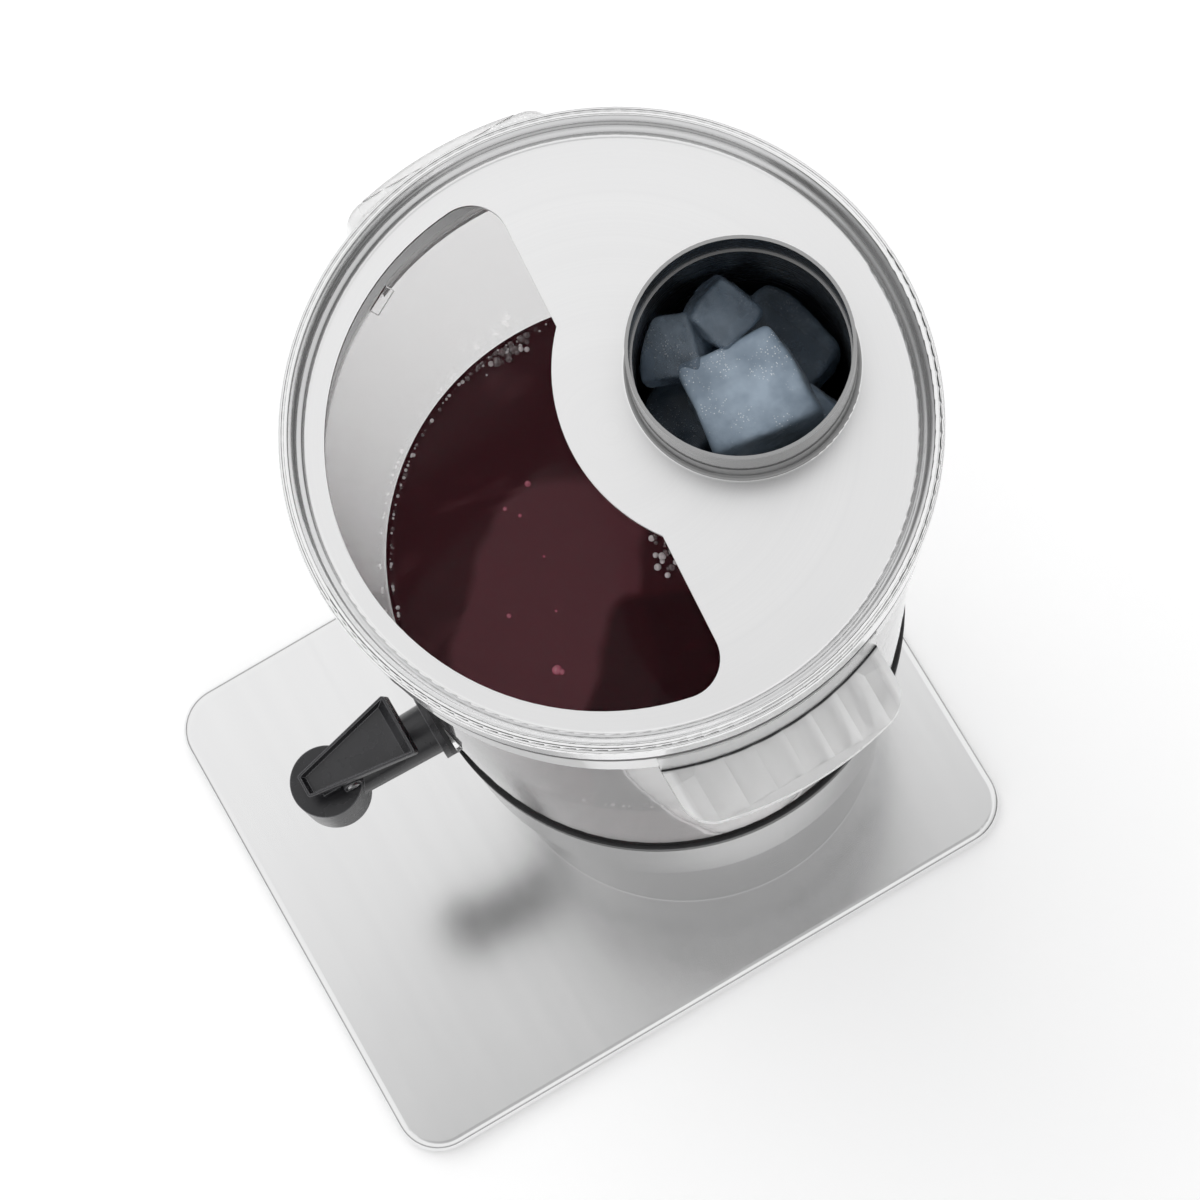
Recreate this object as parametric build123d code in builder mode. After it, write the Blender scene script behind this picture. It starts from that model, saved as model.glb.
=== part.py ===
from build123d import *
import os
from math import atan2, cos, degrees, sin

# Juice dispenser, sizes in millimetres.
# The origin lies on the table under the middle of the base plate.
# +Z is up and -Y is the front, where the tap is.

# Base plate, a pressed sheet with a turned-down edge
PLATE_LENGTH = 300.0
PLATE_WIDTH = 232.0
PLATE_CORNER = 20.0
PLATE_SHEET = 1.5
PLATE_TOP = 10.0
PLATE_SKIRT = 8.0
PLATE_EDGE = 4.0
REAR_MARGIN = 14.0

# Rubber feet
FOOT_RADIUS = 10.0
FOOT_INSET = 28.0
FOOT_CHAMFER = 1.0

# Pedestal drum
DRUM_RADIUS = 86.0
DRUM_SHEET = 1.5
DRUM_BEND = 3.0
DRUM_HEIGHT = 140.0
DRUM_FLANGE = 18.0

# Screws that hold the drum and the cup
SCREW_RADIUS = 2.5
SCREW_HEAD_RADIUS = 4.75
SCREW_HEAD = 2.7
SCREW_TAIL = 1.5
SCREW_CLEARANCE = 0.2
THREAD_FIT = 0.05
NUT_FLATS = 8.0
NUT_HEIGHT = 4.0
BASE_SCREWS = 4
BASE_SCREW_INSET = 10.0
DECK_SCREWS = 4
DECK_SCREW_INSET = 31.0

# Cup that the container stands in, with its rubber edge
CUP_RADIUS = 91.5
CUP_SHEET = 1.5
CUP_BEND = 5.0
CUP_HEIGHT = 82.0
GASKET_LIP = 1.3
GASKET_INNER_LIP = 1.2
GASKET_SKIRT = 3.0
GASKET_TAIL = 9.0
GASKET_SEAT = 4.0
GASKET_ROUND = 0.6

# Clear container
CONTAINER_FLARE = 3.5
CONTAINER_WALL = 3.0
CONTAINER_FLOOR = 3.0
CONTAINER_HEIGHT = 254.0
FOOT_STEP = 6.0
FOOT_STEP_CLEARANCE = 0.4
BEAD_WIDTH = 3.5
BEAD_HEIGHT = 24.0
BEAD_ROUND = 1.5
BOSS_MARGIN = 0.2
BOSS_RISE = 0.1
BOSS_STANDOFF = 0.8
BOSS_INNER = 2.0
SPOT_FACE = 0.6

# Moulded grips under the rim
HANDLE_LENGTH = 19.5
HANDLE_HALF_SPAN = 38.0
HANDLE_CORNER = 11.0
HANDLE_WALL = 3.0
HANDLE_ROOT = 3.2
HANDLE_LIP = 8.0
HANDLE_FALL = 3.5
HANDLE_CLEARANCE = 0.1
HANDLE_PLATE = 1.0
HANDLE_UPSTAND = 21.0
FLUTES = 6
FLUTE_MARGIN = 8.0
FLUTE_DEPTH = 0.8

# Tap: threaded tail, flange and barrel
WATER_BORE = 6.0
THREAD_WALL = 3.0
THREAD_LENGTH = 20.0
THREAD_CLEARANCE = 0.3
FLANGE_WIDTH = 4.0
FLANGE_THICKNESS = 2.5
BARREL_WALL = 2.8
BARREL_TAPER = 1.2
BARREL_LENGTH = 42.7
TAP_WASHER = 1.8
TAP_INNER_WASHER = 1.5
TAP_NUT = 7.0
TAP_NUT_WALL = 4.0

# Valve chamber and spout
SPOUT_BORE = 5.0
SPOUT_WALL = 2.0
SPOUT_TAPER = 1.6
SPOUT_LENGTH = 16.0
SEAL_LAP = 1.4
SEAL_FLARE = 1.2
SEAL_HEIGHT = 3.5
SEAL_PASSAGE = 1.9
CHAMBER_WALL = 3.9
CHAMBER_ABOVE = 9.5
CHAMBER_ROUND = 2.0
SEAT_DROP = 4.5
SEAT_THICKNESS = 6.0
SHOULDER = 5.0

# Bonnet, stem and spring
BONNET_FLANGE = 2.0
BONNET_PLUG = 4.0
BONNET_CLEARANCE = 0.1
STEM_RADIUS = 2.5
STEM_CLEARANCE = 0.05
COLLAR_WIDTH = 4.0
COLLAR_THICKNESS = 1.5
SPRING_CLEARANCE = 2.0
SPRING_WIRE = 0.45
SPRING_TURNS = 3.5
HEAD_GAP = 0.1
HEAD_WIDTH = 1.7
HEAD_THICKNESS = 1.5

# Lever and its pin
PIN_ARM = 8.0
PIN_RADIUS = 1.5
PIN_CLEARANCE = 0.05
PIN_HEAD_WIDTH = 0.8
PIN_HEAD = 0.8
PIN_RISE = 4.0
EAR_WIDTH = 1.8
EAR_THICKNESS = 2.9
EAR_GAP = 0.3
HUB_WIDTH = 1.9
HUB_HALF_WIDTH = 4.0
PRONG_TIP = 3.0
PRONG_THICKNESS = 3.0
PRONG_TOP = 1.0
PRONG_OVERHANG = 1.5
PRONG_GAP = 0.9
SLOT_CLEARANCE = 0.3
SLOT_ROOM = 1.1
PADDLE_AHEAD = 15.7
PADDLE_BEHIND = 26.4
PADDLE_RISE = 12.0
PADDLE_LIFT = 7.7
PADDLE_FRONT_WIDTH = 9.2
PADDLE_REAR_WIDTH = 24.8
PADDLE_DEPTH = 4.5
PADDLE_DISH = 3.0
PADDLE_RIM = 1.0
PADDLE_SIDE_SLOPE = 0.6
PADDLE_REAR_SLOPE = 3.8
PADDLE_CORNER = 1.2

# Lid, a pressed sheet with a rolled rim and a groove in its edge, turned on the container
LID_OVERHANG = 1.5
LID_SHEET = 1.0
LID_RIM_HEIGHT = 10.0
LID_RECESS = 7.4
LID_RIM_WIDTH = 2.7
LID_RIM_SLANT = 4.5
LID_BEND = 1.3
RIM_GROOVE = 0.45
RIM_GROOVE_INSET = 1.5
LID_TURN = 4.0
LID_COLLAR_HEIGHT = 8.4
LID_COLLAR_WALL = 0.8
LID_COLLAR_ROOT = 1.6
SEAL_BAND = 6.0
SEAL_BAND_INSET = 0.4
SEAL_LIP_WIDTH = 1.3
SEAL_LIP_CLEARANCE = 0.3
SEAL_LIP_DEPTH = 6.0
SEAL_RIB_WIDTH = 2.7
SEAL_RIB_CLEARANCE = 0.4
SEAL_RIB_HEIGHT = 5.0

# Window in the front half of the lid
WINDOW_MARGIN = 7.75
WINDOW_SHIFT = 2.0
WINDOW_CHORD = -0.5
WINDOW_TUBE_MARGIN = 23.0
WINDOW_CORNER = 12.0
WINDOW_INNER_CORNER = 10.0
PANE_LEDGE = 1.6
PANE_THICKNESS = 2.0
PANE_BOND = 0.5
PANE_TAB_LENGTH = 9.0
PANE_TAB_WIDTH = 3.0
PANE_TAB_HEIGHT = 1.5
PANE_TAB_MARGIN = 3.5
PANE_TAB_ANGLE = 213.0

# Ice tube
TUBE_OFFSET = 44.2
TUBE_RADIUS = 33.6
TUBE_SHEET = 0.8
TUBE_CLEARANCE = 0.3
TUBE_LENGTH = 241.0
TUBE_BEND = 6.0
TUBE_BAND = 12.0
TUBE_BAND_LAP = 0.5
TUBE_BAND_SHEET = 1.1
TUBE_BAND_BEVEL = 0.4
TUBE_SEAL_WIDTH = 3.5
TUBE_SEAL_HEIGHT = 3.0
TUBE_SEAL_CLEARANCE = 0.2

# Radii about the container axis
GASKET_OUTER = CUP_RADIUS + GASKET_LIP
GASKET_INNER = CUP_RADIUS - CUP_SHEET - GASKET_INNER_LIP
STEP_RADIUS = GASKET_INNER - FOOT_STEP_CLEARANCE
CONTAINER_TOP_RADIUS = CUP_RADIUS + CONTAINER_FLARE
NECK_RADIUS = CONTAINER_TOP_RADIUS - CONTAINER_WALL
BEAD_RADIUS = CONTAINER_TOP_RADIUS + BEAD_WIDTH
MOUTH_RADIUS = BEAD_RADIUS - CONTAINER_WALL
HANDLE_REACH = BEAD_RADIUS + HANDLE_LENGTH
LID_RADIUS = BEAD_RADIUS + LID_OVERHANG
LID_FLAT_RADIUS = LID_RADIUS - LID_RIM_WIDTH - LID_RIM_SLANT
WINDOW_RADIUS = LID_FLAT_RADIUS - WINDOW_MARGIN
BASE_SCREW_CIRCLE = DRUM_RADIUS - BASE_SCREW_INSET
DECK_SCREW_CIRCLE = DRUM_RADIUS - DECK_SCREW_INSET

# Radii about the ice tube's axis
COLLAR_BORE = TUBE_RADIUS + TUBE_CLEARANCE
COLLAR_RADIUS = COLLAR_BORE + LID_COLLAR_WALL
BAND_RADIUS = COLLAR_BORE + TUBE_BAND_LAP
WINDOW_BULGE = COLLAR_RADIUS + WINDOW_TUBE_MARGIN

# Radii about the tap's axes
THREAD_RADIUS = WATER_BORE + THREAD_WALL
FLANGE_RADIUS = THREAD_RADIUS + FLANGE_WIDTH
BARREL_END_RADIUS = WATER_BORE + BARREL_WALL
BARREL_ROOT_RADIUS = BARREL_END_RADIUS + BARREL_TAPER
TAP_NUT_CORNERS = THREAD_RADIUS + TAP_NUT_WALL
BOSS_RADIUS = FLANGE_RADIUS + BOSS_MARGIN
SPOUT_RADIUS = SPOUT_BORE + SPOUT_WALL
SPOUT_ROOT_RADIUS = SPOUT_RADIUS + SPOUT_TAPER
SEAL_TIP_RADIUS = SPOUT_BORE + SEAL_LAP
SEAL_RADIUS = SEAL_TIP_RADIUS + SEAL_FLARE
CHAMBER_BORE = SEAL_RADIUS + SEAL_PASSAGE
CHAMBER_RADIUS = CHAMBER_BORE + CHAMBER_WALL
STEM_COLLAR_RADIUS = STEM_RADIUS + COLLAR_WIDTH
SPRING_RADIUS = STEM_RADIUS + SPRING_CLEARANCE + SPRING_WIRE
HEAD_RADIUS = STEM_RADIUS + HEAD_WIDTH
HUB_RADIUS = PIN_RADIUS + HUB_WIDTH
EAR_RADIUS = PIN_RADIUS + EAR_WIDTH
PIN_HEAD_RADIUS = PIN_RADIUS + PIN_HEAD_WIDTH

# Heights above the table
PLATE_UNDERSIDE = PLATE_TOP - PLATE_SHEET
DECK_TOP = PLATE_TOP + DRUM_HEIGHT
CUP_TOP = DECK_TOP + CUP_HEIGHT
GASKET_TOP = CUP_TOP + GASKET_SEAT
FLOOR_BOTTOM = GASKET_TOP - FOOT_STEP
FLOOR_TOP = FLOOR_BOTTOM + CONTAINER_FLOOR
BEAD_TOP = GASKET_TOP + CONTAINER_HEIGHT
BEAD_BOTTOM = BEAD_TOP - BEAD_HEIGHT
LIP_BOTTOM = BEAD_BOTTOM - HANDLE_LIP
SKIRT_BOTTOM = BEAD_TOP + SEAL_BAND
RIM_TOP = SKIRT_BOTTOM + LID_RIM_HEIGHT
FLAT_TOP = RIM_TOP - LID_RECESS
FLAT_UNDERSIDE = FLAT_TOP - LID_SHEET
PANE_TOP = FLAT_UNDERSIDE - PANE_BOND
COLLAR_TOP = FLAT_TOP + LID_COLLAR_HEIGHT
TAP_Z = GASKET_TOP + BOSS_RADIUS + BOSS_RISE
CHAMBER_TOP = TAP_Z + CHAMBER_ABOVE
VALVE_SEAT = TAP_Z - WATER_BORE - SEAT_DROP
CHAMBER_BOTTOM = VALVE_SEAT - SEAT_THICKNESS
SPOUT_ROOT = CHAMBER_BOTTOM - SHOULDER
SPOUT_TIP = SPOUT_ROOT - SPOUT_LENGTH
BONNET_TOP = CHAMBER_TOP + BONNET_FLANGE
PIN_Z = BONNET_TOP + PIN_RISE
COLLAR_BOTTOM = VALVE_SEAT + SEAL_HEIGHT
SPRING_FOOT = COLLAR_BOTTOM + COLLAR_THICKNESS
SPRING_HEAD = CHAMBER_TOP - BONNET_PLUG
HEAD_BOTTOM = PIN_Z + PRONG_TOP + HEAD_GAP

# Distances ahead of the container axis
WALL_SLOPE = CONTAINER_FLARE / (BEAD_BOTTOM - GASKET_TOP)
WALL_AT_TAP = CUP_RADIUS + WALL_SLOPE * (TAP_Z - GASKET_TOP)
BOSS_FACE = WALL_AT_TAP + BOSS_STANDOFF
BOSS_BACK = WALL_AT_TAP - CONTAINER_WALL - BOSS_INNER
FLANGE_BACK = BOSS_FACE + TAP_WASHER
FLANGE_FACE = FLANGE_BACK + FLANGE_THICKNESS
TAP_NUT_FACE = BOSS_BACK - TAP_INNER_WASHER
THREAD_END = FLANGE_BACK - THREAD_LENGTH
TAP_REACH = FLANGE_FACE + BARREL_LENGTH
PIN_REACH = TAP_REACH - PIN_ARM
AXIS_Y = PLATE_LENGTH / 2 - REAR_MARGIN - DRUM_RADIUS

# Reference planes and axes
axis = Axis((0, AXIS_Y, 0), (0, 0, 1))
valve_axis = Axis((0, AXIS_Y - TAP_REACH, 0), (0, 0, 1))
barrel_axis = Axis((0, AXIS_Y, TAP_Z), (0, -1, 0))
section = Plane(origin=(0, AXIS_Y, 0), x_dir=(1, 0, 0), z_dir=(0, -1, 0))
valve_section = Plane(origin=(0, AXIS_Y - TAP_REACH, 0), x_dir=(1, 0, 0), z_dir=(0, -1, 0))
barrel_section = Plane(origin=(0, AXIS_Y, TAP_Z), x_dir=(0, -1, 0), z_dir=(-1, 0, 0))


def level(height, ahead=0.0):
    """Horizontal plane at a height, centred on the container axis or ahead of it."""
    return Plane(origin=(0, AXIS_Y - ahead, height))


def lid_level(height):
    """Horizontal plane centred on the container axis and turned with the lid."""
    return level(height).rotated((0, 0, -LID_TURN))


tube_foot = lid_level(0).from_local_coords((0, TUBE_OFFSET, 0))
tube_axis = Axis(tube_foot, (0, 0, 1))
tube_section = Plane(origin=tube_foot, x_dir=(1, 0, 0), z_dir=(0, -1, 0))


def tube_level(height):
    """Horizontal plane at a height, centred on the ice tube."""
    return Plane(origin=(tube_foot.X, tube_foot.Y, height))


def across(reach):
    """Upright plane that faces the front, centred on the tap at a distance ahead of the axis."""
    return Plane(origin=(0, AXIS_Y - reach, TAP_Z), x_dir=(1, 0, 0), z_dir=(0, -1, 0))


def beside_pin(offset):
    """Upright plane square to the lever pin and centred on it, with its own x to the front."""
    return Plane(origin=(offset, AXIS_Y - PIN_REACH, PIN_Z), x_dir=(0, -1, 0), z_dir=(-1, 0, 0))


def sheet_profile(plane, points, bend, sheet, side):
    """Profile of a bent sheet whose visible face follows the points."""
    with BuildSketch(plane) as profile:
        with BuildLine():
            FilletPolyline(*points, radius=bend)
            offset(amount=sheet, side=side)
        make_face()
    return profile.sketch


def screw_set(count, circle, head_face, head, tail):
    """Screws round the container axis, with heads and shanks that start at one face."""
    with BuildPart() as screws:
        with BuildSketch(level(head_face)):
            with PolarLocations(circle, count, start_angle=45):
                Circle(SCREW_HEAD_RADIUS)
        extrude(amount=head)
        with BuildSketch(level(head_face)):
            with PolarLocations(circle, count, start_angle=45):
                Circle(SCREW_RADIUS)
        extrude(amount=tail)
    return screws.part


def nut_set(count, circle, height):
    """Hexagon nuts round the container axis."""
    with BuildPart() as nuts:
        with BuildSketch(level(height)):
            with PolarLocations(circle, count, start_angle=45):
                RegularPolygon(NUT_FLATS / 2, 6, major_radius=False)
                Circle(SCREW_RADIUS + THREAD_FIT, mode=Mode.SUBTRACT)
        extrude(amount=NUT_HEIGHT)
    return nuts.part


def screw_holes(count, circle, height, sheet):
    """Clearance holes through a sheet for a set of screws, as solids to cut away."""
    with BuildPart() as holes:
        with BuildSketch(level(height)):
            with PolarLocations(circle, count, start_angle=45):
                Circle(SCREW_RADIUS + SCREW_CLEARANCE)
        extrude(amount=sheet)
    return holes.part


# Base plate: rounded corners, bent edge, open underneath
with BuildPart() as base_plate:
    with BuildSketch(Plane.XY.offset(PLATE_TOP - PLATE_SKIRT)):
        RectangleRounded(PLATE_WIDTH, PLATE_LENGTH, PLATE_CORNER)
    extrude(amount=PLATE_SKIRT)
    fillet(base_plate.faces().sort_by(Axis.Z)[-1].edges(), PLATE_EDGE)
    offset(amount=-PLATE_SHEET, openings=base_plate.faces().sort_by(Axis.Z)[0])
    add(
        screw_holes(BASE_SCREWS, BASE_SCREW_CIRCLE, PLATE_UNDERSIDE, PLATE_SHEET),
        mode=Mode.SUBTRACT,
    )

with BuildPart() as rubber_feet:
    with BuildSketch(Plane.XY):
        with GridLocations(PLATE_WIDTH - 2 * FOOT_INSET, PLATE_LENGTH - 2 * FOOT_INSET, 2, 2):
            Circle(FOOT_RADIUS)
    extrude(amount=PLATE_UNDERSIDE)
    chamfer(rubber_feet.faces().filter_by(Axis.Z).group_by(Axis.Z)[0].edges(), FOOT_CHAMFER)

# Pedestal: a drum with a closed deck and a flange turned in at the bottom
with BuildPart() as pedestal:
    add(
        sheet_profile(
            section,
            [
                (DRUM_RADIUS - DRUM_FLANGE, PLATE_TOP),
                (DRUM_RADIUS, PLATE_TOP),
                (DRUM_RADIUS, DECK_TOP),
                (0, DECK_TOP),
            ],
            DRUM_BEND,
            DRUM_SHEET,
            Side.LEFT,
        )
    )
    revolve(axis=axis)
    add(
        screw_holes(BASE_SCREWS, BASE_SCREW_CIRCLE, PLATE_TOP, DRUM_SHEET),
        mode=Mode.SUBTRACT,
    )
    add(
        screw_holes(DECK_SCREWS, DECK_SCREW_CIRCLE, DECK_TOP, -DRUM_SHEET),
        mode=Mode.SUBTRACT,
    )

with BuildPart() as pedestal_screws:
    base_grip = PLATE_SHEET + DRUM_SHEET + NUT_HEIGHT + SCREW_TAIL
    add(screw_set(BASE_SCREWS, BASE_SCREW_CIRCLE, PLATE_UNDERSIDE, -SCREW_HEAD, base_grip))

with BuildPart() as pedestal_nuts:
    add(nut_set(BASE_SCREWS, BASE_SCREW_CIRCLE, PLATE_TOP + DRUM_SHEET))

# Seat cup on the drum
with BuildPart() as seat_cup:
    add(
        sheet_profile(
            section,
            [(0, DECK_TOP), (CUP_RADIUS, DECK_TOP), (CUP_RADIUS, CUP_TOP)],
            CUP_BEND,
            CUP_SHEET,
            Side.LEFT,
        )
    )
    revolve(axis=axis)
    add(
        screw_holes(DECK_SCREWS, DECK_SCREW_CIRCLE, DECK_TOP, CUP_SHEET),
        mode=Mode.SUBTRACT,
    )

with BuildPart() as deck_screws:
    deck_grip = CUP_SHEET + DRUM_SHEET + NUT_HEIGHT + SCREW_TAIL
    add(screw_set(DECK_SCREWS, DECK_SCREW_CIRCLE, DECK_TOP + CUP_SHEET, SCREW_HEAD, -deck_grip))

with BuildPart() as deck_nuts:
    add(nut_set(DECK_SCREWS, DECK_SCREW_CIRCLE, DECK_TOP - DRUM_SHEET - NUT_HEIGHT))

# Rubber edge that straddles the rim of the cup
with BuildPart() as seat_gasket:
    with BuildSketch(section) as gasket_section:
        Polygon(
            (GASKET_INNER, GASKET_TOP),
            (GASKET_OUTER, GASKET_TOP),
            (GASKET_OUTER, CUP_TOP - GASKET_SKIRT),
            (CUP_RADIUS, CUP_TOP - GASKET_SKIRT),
            (CUP_RADIUS, CUP_TOP),
            (CUP_RADIUS - CUP_SHEET, CUP_TOP),
            (CUP_RADIUS - CUP_SHEET, CUP_TOP + GASKET_SEAT - GASKET_TAIL),
            (GASKET_INNER, CUP_TOP + GASKET_SEAT - GASKET_TAIL),
            align=None,
        )
        fillet(gasket_section.vertices().group_by(Axis.X)[-1], GASKET_ROUND)
    revolve(axis=axis)

# Container: a slightly flared jar with a stepped foot, a rim set outwards and a boss for the tap
with BuildPart() as container:
    with BuildSketch(section) as jar_section:
        Polygon(
            (0, FLOOR_BOTTOM),
            (STEP_RADIUS, FLOOR_BOTTOM),
            (STEP_RADIUS, GASKET_TOP),
            (CUP_RADIUS, GASKET_TOP),
            (CONTAINER_TOP_RADIUS, BEAD_BOTTOM),
            (BEAD_RADIUS, BEAD_BOTTOM),
            (BEAD_RADIUS, BEAD_TOP),
            (MOUTH_RADIUS, BEAD_TOP),
            (MOUTH_RADIUS, BEAD_BOTTOM + CONTAINER_WALL),
            (NECK_RADIUS, BEAD_BOTTOM + CONTAINER_WALL),
            (CUP_RADIUS - CONTAINER_WALL, GASKET_TOP + CONTAINER_FLOOR),
            (STEP_RADIUS - CONTAINER_WALL, GASKET_TOP + CONTAINER_FLOOR),
            (STEP_RADIUS - CONTAINER_WALL, FLOOR_TOP),
            (0, FLOOR_TOP),
            align=None,
        )
        fillet(jar_section.vertices().group_by(Axis.X)[-1], BEAD_ROUND)
    revolve(axis=axis)
    with BuildSketch(across(BOSS_BACK)):
        Circle(BOSS_RADIUS)
    extrude(amount=BOSS_FACE - BOSS_BACK)
    with BuildSketch(across(BOSS_BACK)):
        Circle(TAP_NUT_CORNERS + SPOT_FACE)
    extrude(amount=-TAP_NUT - TAP_INNER_WASHER, mode=Mode.SUBTRACT)
    with BuildSketch(across(BOSS_BACK)):
        Circle(THREAD_RADIUS + THREAD_CLEARANCE)
    extrude(amount=BOSS_FACE - BOSS_BACK, mode=Mode.SUBTRACT)


HANDLE_SLOPE = degrees(atan2(HANDLE_FALL, HANDLE_LENGTH))
FLUTE_PITCH = 2 * (HANDLE_HALF_SPAN - FLUTE_MARGIN) / FLUTES
FLUTE_RADIUS = (FLUTE_PITCH**2 / 4 + FLUTE_DEPTH**2) / (2 * FLUTE_DEPTH)
grip_top = Plane(origin=(BEAD_RADIUS, AXIS_Y, BEAD_BOTTOM)).rotated((0, HANDLE_SLOPE, 0))


def grip_outline(height, inset):
    """Plan of the right grip with its round outer corners, drawn in from its edge."""
    with BuildSketch(level(height)) as plan:
        Circle(HANDLE_REACH - inset)
        with Locations((HANDLE_REACH, 0)):
            Rectangle(HANDLE_REACH, 2 * (HANDLE_HALF_SPAN - inset), mode=Mode.INTERSECT)
        fillet(plan.vertices().group_by(Axis.X)[-1], HANDLE_CORNER - inset)
    return plan.sketch


# Hollow under the grip, open downwards, between its root at the wall and its outer lip
with BuildPart() as grip_hollow:
    add(grip_outline(LIP_BOTTOM - HANDLE_WALL, HANDLE_WALL))
    extrude(amount=HANDLE_LIP + HANDLE_WALL + HANDLE_FALL)
    split(bisect_by=grip_top.offset(-HANDLE_WALL), keep=Keep.BOTTOM)
    with BuildSketch(level(LIP_BOTTOM - HANDLE_WALL)):
        Circle(CONTAINER_TOP_RADIUS + HANDLE_ROOT)
    extrude(amount=HANDLE_LIP + HANDLE_WALL + HANDLE_FALL, mode=Mode.SUBTRACT)

with BuildPart() as handle_right:
    add(grip_outline(LIP_BOTTOM, 0))
    extrude(amount=HANDLE_LIP)
    split(bisect_by=grip_top, keep=Keep.BOTTOM)
    add(grip_hollow.part, mode=Mode.SUBTRACT)
    with BuildSketch(section):
        wall_at_lip = CONTAINER_TOP_RADIUS - WALL_SLOPE * HANDLE_LIP
        Polygon(
            (0, LIP_BOTTOM),
            (wall_at_lip + HANDLE_CLEARANCE, LIP_BOTTOM),
            (CONTAINER_TOP_RADIUS + HANDLE_CLEARANCE, BEAD_BOTTOM),
            (0, BEAD_BOTTOM),
            align=None,
        )
    revolve(axis=axis, mode=Mode.SUBTRACT)
    for flute in range(FLUTES):
        side = (flute - (FLUTES - 1) / 2) * FLUTE_PITCH
        flute_centre = (-HANDLE_WALL, side, FLUTE_RADIUS - FLUTE_DEPTH)
        flute_plane = Plane(
            origin=grip_top.from_local_coords(flute_centre),
            x_dir=grip_top.y_dir,
            z_dir=grip_top.x_dir,
        )
        with BuildSketch(flute_plane):
            Circle(FLUTE_RADIUS)
        extrude(amount=HANDLE_LENGTH, mode=Mode.SUBTRACT)
    with BuildSketch(level(BEAD_BOTTOM - HANDLE_WALL / 2)):
        Circle(BEAD_RADIUS + HANDLE_CLEARANCE + HANDLE_PLATE)
        Circle(BEAD_RADIUS + HANDLE_CLEARANCE, mode=Mode.SUBTRACT)
        with Locations((BEAD_RADIUS, 0)):
            Rectangle(BEAD_RADIUS, 2 * HANDLE_HALF_SPAN, mode=Mode.INTERSECT)
    extrude(amount=HANDLE_WALL / 2 + HANDLE_UPSTAND)

with BuildPart() as handle_left:
    add(mirror(handle_right.part, about=Plane.YZ))

# Tap: threaded tail, flange, tapered barrel, valve chamber and spout in one moulding
with BuildPart() as tap_body:
    with BuildSketch(barrel_section):
        Polygon(
            (THREAD_END, 0),
            (THREAD_END, THREAD_RADIUS),
            (FLANGE_BACK, THREAD_RADIUS),
            (FLANGE_BACK, FLANGE_RADIUS),
            (FLANGE_FACE, FLANGE_RADIUS),
            (FLANGE_FACE, BARREL_ROOT_RADIUS),
            (TAP_REACH, BARREL_END_RADIUS),
            (TAP_REACH, 0),
            align=None,
        )
    revolve(axis=barrel_axis)
    with BuildSketch(valve_section):
        with BuildLine():
            outside = FilletPolyline(
                (SPOUT_RADIUS, SPOUT_TIP),
                (SPOUT_ROOT_RADIUS, SPOUT_ROOT),
                (CHAMBER_RADIUS, CHAMBER_BOTTOM),
                (CHAMBER_RADIUS, CHAMBER_TOP),
                radius=CHAMBER_ROUND,
            )
            Polyline(outside @ 1, (0, CHAMBER_TOP), (0, SPOUT_TIP), outside @ 0)
        make_face()
    revolve(axis=valve_axis)
    with BuildSketch(level(SPOUT_TIP, TAP_REACH)):
        Circle(SPOUT_BORE)
    extrude(amount=VALVE_SEAT - SPOUT_TIP, mode=Mode.SUBTRACT)
    with BuildSketch(level(VALVE_SEAT, TAP_REACH)):
        Circle(CHAMBER_BORE)
    extrude(amount=CHAMBER_TOP - VALVE_SEAT, mode=Mode.SUBTRACT)
    with BuildSketch(across(THREAD_END)):
        Circle(WATER_BORE)
    extrude(amount=TAP_REACH - THREAD_END, mode=Mode.SUBTRACT)

with BuildPart() as tap_gasket_outer:
    with BuildSketch(across(BOSS_FACE)):
        Circle(FLANGE_RADIUS)
        Circle(THREAD_RADIUS + THREAD_FIT, mode=Mode.SUBTRACT)
    extrude(amount=TAP_WASHER)

with BuildPart() as tap_gasket_inner:
    with BuildSketch(across(TAP_NUT_FACE)):
        Circle(TAP_NUT_CORNERS)
        Circle(THREAD_RADIUS + THREAD_FIT, mode=Mode.SUBTRACT)
    extrude(amount=TAP_INNER_WASHER)

with BuildPart() as tap_nut:
    with BuildSketch(across(TAP_NUT_FACE)):
        RegularPolygon(TAP_NUT_CORNERS, 6, rotation=30)
        Circle(THREAD_RADIUS + THREAD_FIT, mode=Mode.SUBTRACT)
    extrude(amount=-TAP_NUT)

# Bonnet that closes the chamber, with two ears for the lever pin
with BuildPart() as tap_bonnet:
    with BuildSketch(level(CHAMBER_TOP, TAP_REACH)):
        Circle(CHAMBER_RADIUS)
    extrude(amount=BONNET_FLANGE)
    with BuildSketch(level(CHAMBER_TOP, TAP_REACH)):
        Circle(CHAMBER_BORE - BONNET_CLEARANCE)
    extrude(amount=-BONNET_PLUG)
    for hand in (-1, 1):
        with BuildSketch(beside_pin(hand * (HUB_HALF_WIDTH + EAR_GAP))):
            Circle(EAR_RADIUS)
            with Locations((0, -PIN_RISE / 2)):
                Rectangle(2 * EAR_RADIUS, PIN_RISE)
            Circle(PIN_RADIUS + PIN_CLEARANCE, mode=Mode.SUBTRACT)
        extrude(amount=-hand * EAR_THICKNESS)
    with BuildSketch(level(SPRING_HEAD, TAP_REACH)):
        Circle(STEM_RADIUS + STEM_CLEARANCE)
    extrude(amount=BONNET_TOP - SPRING_HEAD, mode=Mode.SUBTRACT)

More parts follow.
